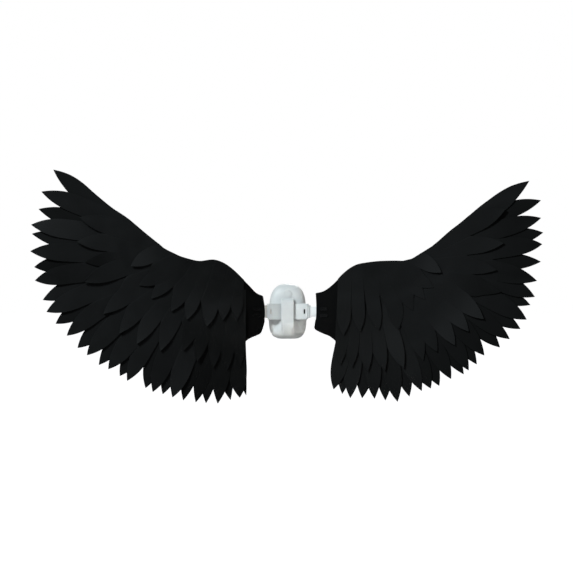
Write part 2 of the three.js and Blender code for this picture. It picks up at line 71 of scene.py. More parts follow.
LEFT = {
    # the sheet's front tone and the feathers' root tone are painted shade
    "side": -1, "name": "left", "rivet_at": 55.0, "tongue_end": 74.0, "sheet_painted_shade": 0.05, "rest_tone": 0.31,
    "flights": table(FLIGHT, [
        (467.8, 284.4, 44.8, 35.4, 0.25, 2.4, 0, 1.5, 0.40), (491.6, 240.3, 22.1, 37.3, 0.1, 2.4, 1, 2.0, 0.50),
        (497, 205.6, 16.4, 37.3, 0.03, 2.4, 0, 1.0, 0.30), (511.9, 174.2, 6.9, 38.9, 0.01, 2.6, 1, 3.2, 0.85),
        (510.2, 156.3, 13.8, 36.3, 0.14, 2.4, 0, 1.5, 0.45), (513.6, 121.5, 2.7, 37.6, 0.05, 2.6, 1, 5.0, 0.45),
        (505.7, 90.2, -3.9, 39.2, 0.1, 2.8, 0, 1.0, 0.15), (504.3, 63.3, -5.1, 39.1, 0.22, 3.0, 1, 4.0, 0.30),
        (488.8, 24.6, -23.9, 39.9, -0.02, 2.5, 0, 1.5, 0.50), (481.4, 0.8, -22.3, 39.9, 0.08, 2.8, 1, 3.6, 0.55),
        (463.4, -22.8, -25.7, 40, 0.22, 2.8, 0, 1.0, 0.35), (441.4, -46.7, -34.2, 37.6, 0.22, 2.8, 1, 2.8, 0.50),
        (419.9, -71.5, -43.4, 40.1, -0.02, 2.8, 0, 1.5, 0.45), (401.4, -86.1, -44.9, 40.2, 0.1, 2.7, 1, 2.6, 0.55),
        (377.5, -106, -50.9, 39.5, 0.05, 2.5, 0, 1.0, 0.45), (358.8, -114.5, -47.8, 39.7, 0.19, 2.8, 1, 3.0, 0.55),
        (335.4, -128.5, -58.3, 40.5, -0.01, 2.9, 0, 1.0, 0.40), (320.9, -138.2, -58.8, 37.5, 0.14, 2.8, 1, 3.2, 0.50),
        (283.5, -153.5, -72.4, 39.8, 0, 2.8, 0, 1.5, 0.35), (269.4, -161.3, -65, 39.4, 0.15, 2.7, 1, 3.4, 0.40),
        (248.8, -166.5, -67.3, 38.5, 0.15, 2.7, 0, 1.0, 0.40), (229.2, -172.8, -67.2, 41, 0.15, 2.6, 1, 4.5, 0.60),
        (207, -179.7, -73.3, 36.1, 0.1, 2.4, 0, 1.0, 0.15), (181.3, -184.1, -75.3, 35.4, 0, 2.4, 0, 1.0, 0.12),
        (160.3, -186, -79.7, 35.1, 0.17, 2.4, 0, 1.0, 0.15), (136.3, -187.1, -77.8, 39.3, 0.21, 2.2, 1, 3.4, 0.20),
        (109.5, -180.3, -95.6, 35.2, 0.25, 2.2, 0, 1.0, 0.16), (90.7, -175.8, -90.6, 40.8, 0.17, 3.0, 1, 2.4, 0.21),
        (76.9, -171.7, -100.6, 26.2, 0.12, 1.8, 0, 0.5, 0.17),
    ]),
    "middle": table(COVERT, [
        (417.4, 189.2, 17.5, 36.1, 215, 7.6, 66, 0.57), (422.3, 140.8, 3.7, 36, 215, 7.0, 62, 0.60),
        (405.5, 100.4, -3.2, 34.1, 215, 6.2, 50, 0.22), (408.4, 60.5, -18.1, 38, 215, 5.8, 88, 0.52),
        (369, -3, -33, 36.2, 190, 3.8, 62, 0.60, 0, 0, 0.2), (337, -42.5, -46, 35.5, 175, 4.4, 62, 0.62, 0, 0, 0.22),
        (302, -63.8, -53, 35.5, 170, 4.2, 66, 0.72, 0, 0, 0.22), (254.5, -78.5, -63, 36, 165, 4.2, 56, 0.62, 0, 0, 0.2),
        (207.5, -78, -64.5, 32.7, 160, 3.6, 46, 0.22), (179.5, -100.6, -74.8, 32.9, 160, 4.2, 60, 0.22),
        (146.7, -114.2, -80.9, 30.9, 160, 3.8, 52, 0.17), (117.8, -118.6, -84.9, 31, 160, 3.0, 50, 0.18),
        (90.9, -114.8, -89, 27, 160, 2.0, 45, 0.19),
    ]),
    # which of each two neighbours lies over the other: o the outer, i the inner, - neither
    "flights_over": "o", "middle_over": "ooioooooooooo", "upper_over": "o",
    "upper": table(COVERT, [
        (313.8, 92.7, -25.1, 32.2, 150, 2.0, 46, 0.88), (297.7, 53.5, -22, 30.2, 150, 1.8, 43, 0.46, -34, 0.5),
        (273, 27, -40, 29.5, 150, 2.4, 48, 0.56, -22, 0.3, 0.18), (232.5, 1.2, -52, 30, 160, 3.4, 50, 0.56, -14, 0, 0.2),
        (200.4, -15.3, -66, 31, 170, 3.6, 54, 0.62, -6, 0, 0.18), (159.8, -29.2, -75, 32.5, 175, 4.8, 48, 0.62),
        (127.2, -17, -79.5, 30, 160, 4.2, 46, 0.50), (98, -18, -86, 26.9, 150, 2.0, 40, 0.44),
    ]),
    "leading": [
        (465.8, 285.5), (444.7, 277.7), (414.8, 262.1), (394.9, 246.3), (374.9, 229.6), (349.1, 209),
        (318.9, 189.1), (296.8, 170.2), (274.6, 152.3), (254.3, 136.3), (244.4, 127.4), (230.3, 121.5),
        (214.1, 113.5), (193.9, 107.9), (173.7, 103.6), (153.4, 106.7), (140.6, 106.7), (121.7, 99.5),
        (100.9, 84.2), (80.1, 63.8), (69.6, 53.5), (55.3, 38.4), (45.2, 34.4),
    ],
    "tab": [
        (41.5, 32), (38.6, 15.6), (37.8, 3.3), (38, -13.2), (37.9, -21.4), (41.5, -33.7),
        (45.6, -44.9), (57.1, -50), (67.6, -54), (77.5, -60.1),
    ],
}

RIGHT = {
    # the sheet's front tone and the feathers' root tone are painted shade
    "side": 1, "name": "right", "rivet_at": 66.0, "tongue_end": 88.0, "sheet_painted_shade": 0.45, "rest_tone": 0.31,
    "flights": table(FLIGHT, [
        (482.5, 261.8, 42.1, 37.3, 0.25, 2.0, 1, 4.5, 0.42), (505.3, 222.8, 20.6, 33.8, 0.17, 2.5, 0, 1.0, 0.22),
        (505.6, 187.9, 15.2, 35.9, 0.02, 2.5, 1, 1.0, 0.25), (509.7, 158.8, 7.7, 39.2, -0.03, 2.4, 0, 1.0, 0.25),
        (507.9, 135.6, 10.1, 38.9, 0.2, 2.9, 1, 1.8, 0.28), (505.2, 100.8, 2.3, 35.9, 0.12, 2.4, 0, 1.5, 0.24),
        (497.6, 62.7, -11.7, 39.8, 0.1, 2.3, 1, 4.6, 0.28), (493.4, 30.8, -24.7, 39.8, 0, 2.5, 1, 1.8, 0.30),
        (484.5, 14.7, -16.3, 37.3, 0.14, 2.5, 0, 1.0, 0.26), (477.3, -14.4, -27.1, 39.9, 0.12, 2.5, 1, 1.8, 0.32),
        (464.9, -33.2, -23.4, 36, 0.24, 2.7, 0, 1.0, 0.28), (443.8, -53.6, -37.2, 36, -0.03, 2.5, 1, 2.2, 0.26),
        (424.3, -70.4, -41.9, 37.4, 0.1, 2.6, 0, 1.0, 0.24), (393.4, -86.6, -47.9, 40.2, 0.12, 2.4, 1, 3.0, 0.22),
        (378.2, -104.8, -57.9, 37, -0.04, 2.4, 0, 1.0, 0.26), (362.2, -116.9, -58.2, 39.4, 0.1, 2.4, 1, 1.6, 0.30),
        (352.1, -125, -54.7, 36.5, 0.06, 2.4, 0, 1.0, 0.24), (326.7, -134.6, -56, 37.2, 0.25, 2.8, 1, 1.6, 0.26),
        (302.8, -148.9, -68.2, 38.9, -0.1, 2.7, 0, 1.0, 0.22), (285.9, -154.4, -61.3, 41.7, 0.15, 2.8, 1, 1.8, 0.30),
        (267.6, -159.8, -65.5, 37, 0.03, 2.5, 1, 2.4, 0.52), (242.4, -171.3, -71.2, 38.2, 0.17, 2.4, 0, 1.0, 0.32),
        (218.3, -182.4, -77.4, 38.2, 0.1, 2.5, 1, 2.4, 0.34), (193.4, -180.1, -86.5, 36.9, 0.03, 2.4, 0, 1.0, 0.30),
        (171.4, -177.2, -81.9, 37.7, 0.17, 2.4, 1, 3.4, 0.40), (145.6, -176.3, -90.5, 39.8, 0.17, 2.5, 0, 1.0, 0.36),
        (121.3, -176.5, -93.5, 38.5, 0.03, 2.4, 1, 3.2, 0.55), (104.4, -168.2, -91.3, 36.2, 0.15, 2.5, 0, 1.0, 0.42),
        (87, -158.8, -101, 36.3, 0.1, 3.1, 1, 2.2, 0.46),
    ]),
    "middle": table(COVERT, [
        (436, 206, 26, 38.1, 215, 5.6, 80, 0.45, 0, 0, 0.06), (432.7, 138, 6.5, 36, 215, 4.0, 72, 0.50),
        (418.8, 84.4, -6.2, 34, 215, 3.0, 55, 0.46), (428, 40.5, -12, 34, 215, 2.6, 70, 0.30, 0, 0, 0.02, (5, 5)),
        (393, -13.5, -36, 38.1, 215, 4.6, 54, 0.84),
        (363.1, -38.7, -45.9, 36.2, 190, 3.8, 54, 0.88), (336.1, -66.9, -53.9, 36.3, 175, 3.4, 56, 0.86),
        (299.9, -80.3, -58.8, 36.5, 170, 3.0, 46, 0.52), (271.6, -97.7, -68.9, 34.5, 165, 2.4, 50, 0.50),
        (232.1, -114.2, -75, 35.5, 175, 4.0, 112, 0.72, 0, 0, -0.22), (193.4, -119.7, -80, 34, 175, 3.8, 112, 0.55, 0, 0, -0.17),
        (158.5, -121.2, -83, 32.9, 175, 3.0, 96, 0.50, 0, 0, 0), (126, -113.4, -89, 32.5, 175, 2.6, 92, 0.46, 0, 0, 0),
        (101.5, -108.5, -92.5, 28.9, 170, 1.8, 60, 0.44, 0, 0, 0.05),
    ]),
    "flights_over": "ooooooooooiiiiiiiiiii", "middle_over": "oooiooooiiiiii", "upper_over": "ooooiiii",
    "upper": table(COVERT, [
        (308.2, 79.6, -28.1, 32.2, 150, 2.2, 44, 0.85), (293.1, 49.5, -23, 30.2, 150, 1.0, 30, 0.55, -30, 1.6),
        (275, 25.3, -45.9, 28.3, 150, 1.0, 26, 0.60, -14, 1.65), (250.7, 3.1, -59.8, 30.4, 150, 1.2, 28, 0.52, -8, 1.6, 0.1, (2, 16)),
        (220.3, -36.4, -77.9, 32.6, 170, 1.4, 40, 0.46, 0, 1.3, 0.1, (0.5, 16)), (181, -37, -82.5, 29.5, 180, 1.8, 84, 0.50, 0, 0, -0.18),
        (142.2, -40, -85.5, 28.4, 180, 2.4, 140, 0.46, 0, 0, 0), (108.6, -47.4, -90.8, 29.2, 180, 2.4, 146, 0.50, 0, 0, 0),
    ]),
    "leading": [
        (479.1, 262), (464, 258.6), (444.1, 250.8), (424.2, 240.1), (404.3, 227.3), (384.4, 212.5),
        (364.4, 195.7), (344.5, 178.9), (324.4, 164), (304.3, 146), (284.3, 130.1), (264.1, 118.2),
        (248.1, 108.2), (234.1, 103.8), (218.3, 104.5), (189.6, 104.2), (173.2, 103.2), (152.6, 100.6),
        (135.9, 97.6), (121.2, 90.3), (106.5, 79), (96.1, 67.8), (83.8, 55.6), (73.5, 47.6),
        (63.5, 41.6), (51.7, 39.4),
    ],
    "tab": [
        (48.8, 38), (50, 15.6), (50.2, -0.8), (49.6, -11.1), (47.3, -21.3), (45.2, -35.7),
        (56.7, -41.8), (67.1, -46.4), (77.5, -49.8), (90.4, -60),
    ],
}


# ------------------------------------------------------------------ materials
def nodes_of(name):
    material = bpy.data.materials.new(name)
    material.use_nodes = True
    tree = material.node_tree
    tree.nodes.clear()
    out = tree.nodes.new("ShaderNodeOutputMaterial")
    shader = tree.nodes.new("ShaderNodeBsdfPrincipled")
    tree.links.new(shader.outputs["BSDF"], out.inputs["Surface"])
    return material, tree, shader


def add(tree, kind, **values):
    node = tree.nodes.new(kind)
    for key, value in values.items():
        if key in node.inputs:
            node.inputs[key].default_value = value
        else:
            setattr(node, key, value)
    return node


def noise(tree, scale, detail=2.0, rough=0.5, coords=None):
    coords = coords or add(tree, "ShaderNodeTexCoord").outputs["Object"]
    made = add(tree, "ShaderNodeTexNoise", Scale=scale, Detail=detail, Roughness=rough)
    tree.links.new(coords, made.inputs["Vector"])
    return made.outputs["Fac"]


def ramp(tree, source, low, high):
    made = add(tree, "ShaderNodeMapRange")
    made.inputs["From Min"].default_value, made.inputs["From Max"].default_value = 0.25, 0.75
    made.inputs["To Min"].default_value, made.inputs["To Max"].default_value = low, high
    tree.links.new(source, made.inputs["Value"])
    return made.outputs["Result"]


def colours(tree, source, stops):
    made = add(tree, "ShaderNodeValToRGB")
    band = made.color_ramp
    while len(band.elements) < len(stops):
        band.elements.new(0.5)
    for element, (at, colour) in zip(band.elements, stops):
        element.position = at
        element.color = (*colour, 1)
    tree.links.new(source, made.inputs["Fac"])
    return made.outputs["Color"]


def bump(tree, shader, layers):
    """layers: (height socket, strength, distance in metres)."""
    last = None
    for height, strength, distance in layers:
        made = add(tree, "ShaderNodeBump", Strength=strength, Distance=distance)
        tree.links.new(height, made.inputs["Height"])
        if last is not None:
            tree.links.new(last, made.inputs["Normal"])
        last = made.outputs["Normal"]
    tree.links.new(last, shader.inputs["Normal"])


def foam_material(name, stops, rough, specular):
    """Closed-cell foam sheet: fine pores, faint cloudy tone, each feather a tone that is painted shade and painted
    light with a small random difference.
    """
    material, tree, shader = nodes_of(name)
    coords = add(tree, "ShaderNodeTexCoord").outputs["Object"]
    cloud = noise(tree, 38.0, 3.0, 0.55, coords)
    tone = add(tree, "ShaderNodeAttribute", attribute_name="tone")
    mix = add(tree, "ShaderNodeMath", operation="MULTIPLY_ADD")
    mix.inputs[1].default_value, mix.inputs[2].default_value = 0.3, -0.15
    tree.links.new(cloud, mix.inputs[0])
    both = add(tree, "ShaderNodeMath", operation="ADD")
    tree.links.new(tone.outputs["Fac"], both.inputs[0])
    tree.links.new(mix.outputs["Value"], both.inputs[1])
    tree.links.new(colours(tree, both.outputs["Value"], stops), shader.inputs["Base Color"])
    pores = noise(tree, 2600.0, 2.0, 0.6, coords)
    grain = noise(tree, 700.0, 3.0, 0.5, coords)
    tree.links.new(ramp(tree, cloud, rough - 0.05, rough + 0.05), shader.inputs["Roughness"])
    shader.inputs["Specular IOR Level"].default_value = specular
    shader.inputs["Sheen Weight"].default_value = 0.010
    shader.inputs["Sheen Roughness"].default_value = 0.45
    bump(tree, shader, [(grain, 0.25, 0.0003), (pores, 0.35, 0.00012)])
    return material


def plastic_material(name, dark, light, rough, texture, specular=0.5):
    """Moulded plastic: fine spark-eroded texture, faint flow marks, duller patches."""
    material, tree, shader = nodes_of(name)
    coords = add(tree, "ShaderNodeTexCoord").outputs["Object"]
    flow = noise(tree, 26.0, 3.0, 0.5, coords)
    tree.links.new(colours(tree, flow, [(0.3, dark), (0.7, light)]), shader.inputs["Base Color"])
    smudge = noise(tree, 75.0, 3.0, 0.6, coords)
    tree.links.new(ramp(tree, smudge, rough - 0.05, rough + 0.06), shader.inputs["Roughness"])
    shader.inputs["Specular IOR Level"].default_value = specular
    grain = noise(tree, 2300.0, 2.0, 0.55, coords)
    bump(tree, shader, [(grain, texture, 0.00008)])
    return material


def steel_material(name):
    material, tree, shader = nodes_of(name)
    coords = add(tree, "ShaderNodeTexCoord").outputs["Object"]
    brushed = noise(tree, 420.0, 3.0, 0.6, coords)
    tree.links.new(colours(tree, brushed, [(0.3, (0.42, 0.43, 0.44)), (0.7, (0.62, 0.63, 0.64))]), shader.inputs["Base Color"])
    tree.links.new(ramp(tree, brushed, 0.28, 0.42), shader.inputs["Roughness"])
    shader.inputs["Metallic"].default_value = 1.0
    bump(tree, shader, [(brushed, 0.1, 0.00005)])
    return material


# the spread of these stops carries the painted shade and painted light in each feather's tone
FEATHER_FOAM = foam_material("feather_foam", [
    (0.0, (0.0020, 0.0021, 0.0021)), (0.25, (0.0048, 0.0050, 0.0050)), (0.5, (0.0084, 0.0087, 0.0089)), (0.9, (0.0150, 0.0154, 0.0158))], 0.78, 0.07)
# the darker end of these stops is painted shade for the front of the base sheet
PANEL_FOAM_AND_SHADE = foam_material("panel_foam_and_painted_shade", [(0.2, (0.0012, 0.0012, 0.0012)), (0.7, (0.0034, 0.0035, 0.0036)), (1.0, (0.0082, 0.0085, 0.0087))], 0.82, 0.06)
WHITE_PLASTIC = plastic_material("white_plastic", (0.70, 0.72, 0.72), (0.76, 0.775, 0.775), 0.46, 0.10)
# the white plastic darkened for the left arm: painted shade, as its face turns away from the light
LEFT_ARM_SHADE_PLASTIC = plastic_material("left_arm_painted_shade_plastic", (0.575, 0.600, 0.602), (0.625, 0.645, 0.647), 0.46, 0.10)
# a brighter white for the tongue: painted light that lifts it out of the shade of the gap it crosses
TONGUE_LIGHT_PLASTIC = plastic_material("tongue_painted_light_plastic", (0.90, 0.91, 0.91), (0.94, 0.945, 0.945), 0.40, 0.05)
# a grey-beige for the parts at the left arm's mouth: painted shade of the shadow they sit in
LEFT_MOUTH_SHADE_PLASTIC = plastic_material("pale_plastic", (0.50, 0.475, 0.44), (0.56, 0.535, 0.50), 0.52, 0.12)
DARK_PLASTIC = plastic_material("dark_plastic", (0.0022, 0.0023, 0.0024), (0.0036, 0.0037, 0.0038), 0.6, 0.2, 0.10)
# the rivets' black made darker still for the left wing: painted shade
LEFT_RIVET_SHADE_PLASTIC = plastic_material("left_rivet_painted_shade_plastic", (0.0010, 0.0010, 0.0011), (0.0017, 0.0017, 0.0018), 0.66, 0.2, 0.06)
PIN_STEEL = steel_material("pin_steel")


# -------------------------------------------------------------------- helpers
def smoothstep(x):
    x = np.clip(x, 0.0, 1.0)
    return x * x * (3 - 2 * x)


def through(points, per_span=8, closed=False):
    """A smooth curve through points."""
    p = np.asarray(points, float)
    n = len(p)
    if closed:
        padded = np.vstack([p[-1], p, p[0], p[1]])
        spans = n
    else:
        padded = np.vstack([2 * p[0] - p[1], p, 2 * p[-1] - p[-2]])
        spans = n - 1
    t = np.linspace(0, 1, per_span, endpoint=False)[:, None]
    out = []
    for i in range(spans):
        a, b, c, d = padded[i:i + 4]
        out.append(0.5 * (2 * b + (c - a) * t + (2 * a - 5 * b + 4 * c - d) * t ** 2 + (3 * b - a - 3 * c + d) * t ** 3))
    curve = np.vstack(out)
    return curve if closed else np.vstack([curve, p[-1]])


def evened(curve, step):
    """Points along a curve at an even step."""
    length = np.concatenate([[0], np.cumsum(np.hypot(*np.diff(curve, axis=0).T))])
    count = max(2, int(round(length[-1] / step)) + 1)
    at = np.linspace(0, length[-1], count)
    return np.stack([np.interp(at, length, curve[:, k]) for k in (0, 1)], 1)


def softened(curve, rounds):
    """The curve with its small wobbles taken out, ends kept."""
    c = curve.copy()
    for _ in range(rounds):
        c[1:-1] = 0.25 * c[:-2] + 0.5 * c[1:-1] + 0.25 * c[2:]
    return c


def chance(*key):
    """A repeatable number from 0 to 1 for a feather."""
    x = math.sin(sum((k + 1) * v for k, v in zip((12.9898, 78.233, 37.719, 4.581), key))) * 43758.5453
    return x - math.floor(x)


def wing_to_world(points, side):
    """Wing points (u, z, w) in mm to the row frame in metres."""
    u, z, w = points[:, 0], points[:, 1], points[:, 2]
    c, s = math.cos(SPREAD), math.sin(SPREAD)
    return np.stack([side * (HINGE_X + u * c - w * s), HINGE_Y - u * s - w * c, z], 1) * MM


def new_piece(name, verts, faces, material, body, replaced, tone=None, sharp=35.0):
    """A mesh object from points in the row frame in metres, riding a body."""
    data = bpy.data.meshes.new(name)
    data.from_pydata([tuple(v) for v in verts], [], faces)
    made = bmesh.new()
    made.from_mesh(data)
    bmesh.ops.recalc_face_normals(made, faces=made.faces)
    made.to_mesh(data)
    made.free()
    if tone is not None:
        attribute = data.attributes.new("tone", "FLOAT", "POINT")
        attribute.data.foreach_set("value", np.asarray(tone, np.float32))
    data.shade_smooth()
    data.set_sharp_from_angle(angle=math.radians(sharp))
    obj = bpy.data.objects.new(name, data)
    bpy.context.scene.collection.objects.link(obj)
    data.materials.append(material)
    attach(obj, body)
    if replaced:
        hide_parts(*replaced)
    return obj


def offset_loop(loop, distance):
    """A closed outline moved inwards by a distance."""
    p = np.asarray(loop, float)
    before, after = np.roll(p, 1, 0), np.roll(p, -1, 0)
    d1, d2 = p - before, after - p
    d1 /= np.maximum(np.hypot(*d1.T), 1e-9)[:, None]
    d2 /= np.maximum(np.hypot(*d2.T), 1e-9)[:, None]
    n = np.stack([-(d1[:, 1] + d2[:, 1]), d1[:, 0] + d2[:, 0]], 1)
    n /= np.maximum(np.hypot(*n.T), 1e-9)[:, None]
    cosine = np.clip(n[:, 0] * -d1[:, 1] + n[:, 1] * d1[:, 0], 0.5, 1)
    area = 0.5 * np.sum(p[:, 0] * after[:, 1] - p[:, 1] * after[:, 0])
    return p + n * (distance / cosine)[:, None] * (1 if area > 0 else -1)


def slab(outline, low, high, round_by=0.6, steps=3):
    """A plate with rounded rims: points (x, y, depth) and faces."""
    loops = []
    turns = [i / steps * math.pi / 2 for i in range(steps + 1)]
    for a in turns:
        loops.append((round_by * (1 - math.sin(a)), low + round_by * (1 - math.cos(a))))
    for a in reversed(turns):
        loops.append((round_by * (1 - math.sin(a)), high - round_by * (1 - math.cos(a))))
    n = len(outline)
    verts = np.vstack([np.column_stack([offset_loop(outline, inset), np.full(n, depth)]) for inset, depth in loops])
    faces = []
    for r in range(len(loops) - 1):
        for k in range(n):
            j = (k + 1) % n
            faces.append((r * n + k, r * n + j, (r + 1) * n + j, (r + 1) * n + k))
    faces.append(tuple(range(n))[::-1])
    faces.append(tuple((len(loops) - 1) * n + k for k in range(n)))
    return verts, faces


def rounded(corners, radius, steps=5):
    """A polygon with its corners rounded."""
    p = np.asarray(corners, float)
    out = []
    for i, here in enumerate(p):
        a, b = p[i - 1] - here, p[(i + 1) % len(p)] - here
        la, lb = np.hypot(*a), np.hypot(*b)
        cut = min(radius, 0.45 * la, 0.45 * lb)
        start, end = here + a / la * cut, here + b / lb * cut
        for k in range(steps + 1):
            t = k / steps
            out.append((1 - t) ** 2 * start + 2 * t * (1 - t) * here + t ** 2 * end)
    return np.array(out)


def joined(parts):
    """Several (points, faces) as one."""
    verts, faces, start = [], [], 0
    for v, f in parts:
        verts.append(v)
        faces += [tuple(i + start for i in face) for face in f]
        start += len(v)
    return np.vstack(verts), faces


def scratch(verts, faces):
    data = bpy.data.meshes.new("scratch")
    data.from_pydata([tuple(v) for v in verts], [], faces)
    made = bmesh.new()
    made.from_mesh(data)
    bmesh.ops.recalc_face_normals(made, faces=made.faces)
    made.to_mesh(data)
    made.free()
    obj = bpy.data.objects.new("scratch", data)
    bpy.context.scene.collection.objects.link(obj)
    return obj


def moulded(base, plus=(), minus=(), voxel=0.45, soften=6):
    """Closed forms joined and cut, then given the soft edges of a moulding. All in mm."""
    main = scratch(*base)
    tools = []
    for parts, how in ((plus, "UNION"), (minus, "DIFFERENCE")):
        for part in parts:
            tool = scratch(*part)
            tools.append(tool)
            cut = main.modifiers.new("cut", "BOOLEAN")
            cut.operation, cut.object, cut.solver = how, tool, "EXACT"
    fine = main.modifiers.new("fine", "REMESH")
    fine.mode, fine.voxel_size, fine.adaptivity = "VOXEL", voxel, 0.0
    soft = main.modifiers.new("soft", "SMOOTH")
    soft.factor, soft.iterations = 0.5, soften
    depsgraph = bpy.context.evaluated_depsgraph_get()
    shape = main.evaluated_get(depsgraph).to_mesh()
    verts = np.zeros(len(shape.vertices) * 3)
    shape.vertices.foreach_get("co", verts)
    faces = [tuple(p.vertices) for p in shape.polygons]
    main.evaluated_get(depsgraph).to_mesh_clear()
    for obj in [main, *tools]:
        data = obj.data
        bpy.data.objects.remove(obj)
        bpy.data.meshes.remove(data)
    return verts.reshape(-1, 3), faces


def box(low, high):
    (a, b, c), (d, e, f) = low, high
    verts = np.array([(x, y, z) for x in (a, d) for y in (b, e) for z in (c, f)], float)
    faces = [(0, 1, 3, 2), (4, 6, 7, 5), (0, 4, 5, 1), (2, 3, 7, 6), (0, 2, 6, 4), (1, 5, 7, 3)]
    return verts, faces


def loft(rings, close=True):
    """A skin over rings of equal count, with flat ends."""
    n = len(rings[0])
    verts = np.vstack(rings)
    faces = []
    for r in range(len(rings) - 1):
        for k in range(n):
            j = (k + 1) % n
            faces.append((r * n + k, r * n + j, (r + 1) * n + j, (r + 1) * n + k))
    if close:
        faces.append(tuple(range(n))[::-1])
        faces.append(tuple((len(rings) - 1) * n + k for k in range(n)))
    return verts, faces


# -------------------------------------------------------------------- housing
SHELL_HALF_WIDTH, SHELL_TOP, SHELL_BOTTOM = 37.6, 57.0, -57.0
SHELL_MIDDLE, SHELL_CENTRE = 5.0, -8.0
DOME_POWER, FOOT_POWER = 2.6, 4.0
FOOT_WIDEN, FOOT_RAMP = 0.05, 28.0
SHELL_WALL = 2.4
SHELL_SECTIONS = [  # depth, outline scale
    (0, 0.985), (-3, 1), (-15, 1), (-22, 0.972), (-27.5, 0.915), (-31.5, 0.815), (-33.6, 0.67), (-34.2, 0.5),
]
SHELL_STEPS = 168
GAP = 0.4


def foot_width(z):
    """How much wider than the dome the shell is at a height."""
    return 1 + FOOT_WIDEN * smoothstep((SHELL_MIDDLE - z) / FOOT_RAMP)


def shell_front(x, z):
    """Depth of the shell's front face below the dome."""
    low, high = np.full(np.shape(x), 0.01), np.full(np.shape(x), 1.3)
    for _ in range(40):
        k = 0.5 * (low + high)
        at = SHELL_CENTRE + (z - SHELL_CENTRE) / k
        side = np.abs(x / (k * SHELL_HALF_WIDTH * foot_width(at))) ** FOOT_POWER
        out = side + np.maximum(0, (SHELL_MIDDLE - at) / (SHELL_MIDDLE - SHELL_BOTTOM)) ** FOOT_POWER > 1
        low, high = np.where(out, k, low), np.where(out, high, k)
    scales = [0, 0.36, *[s for _, s in SHELL_SECTIONS[:1:-1]], 1.02]
    depths = [-34.66, -34.45, *[y for y, _ in SHELL_SECTIONS[:1:-1]], 0]
    return np.interp(k, scales, depths)


def shell_ring(y, scale, steps=SHELL_STEPS):
    angle = 2 * math.pi * (np.arange(steps) + 0.5) / steps
    # even steps along the outline rather than in angle
    fine = np.linspace(0, 2 * math.pi, 2401)
    def outline(a):
        c, s = np.cos(a), np.sin(a)
        power = 2 / np.where(s > 0, DOME_POWER, FOOT_POWER)
        rise = np.where(s > 0, SHELL_TOP - SHELL_MIDDLE, SHELL_MIDDLE - SHELL_BOTTOM)
        x, z = SHELL_HALF_WIDTH * np.sign(c) * np.abs(c) ** power, SHELL_MIDDLE + rise * np.sign(s) * np.abs(s) ** power
        return np.stack([x * foot_width(z), z], 1)
    path = outline(fine)
    length = np.concatenate([[0], np.cumsum(np.hypot(*np.diff(path, axis=0).T))])
    at = (np.arange(steps) + 0.5) / steps * length[-1]
    x, z = (np.interp(at, length, path[:, k]) for k in (0, 1))
    return np.stack([scale * x, np.full(steps, float(y)), SHELL_CENTRE + scale * (z - SHELL_CENTRE)], 1)


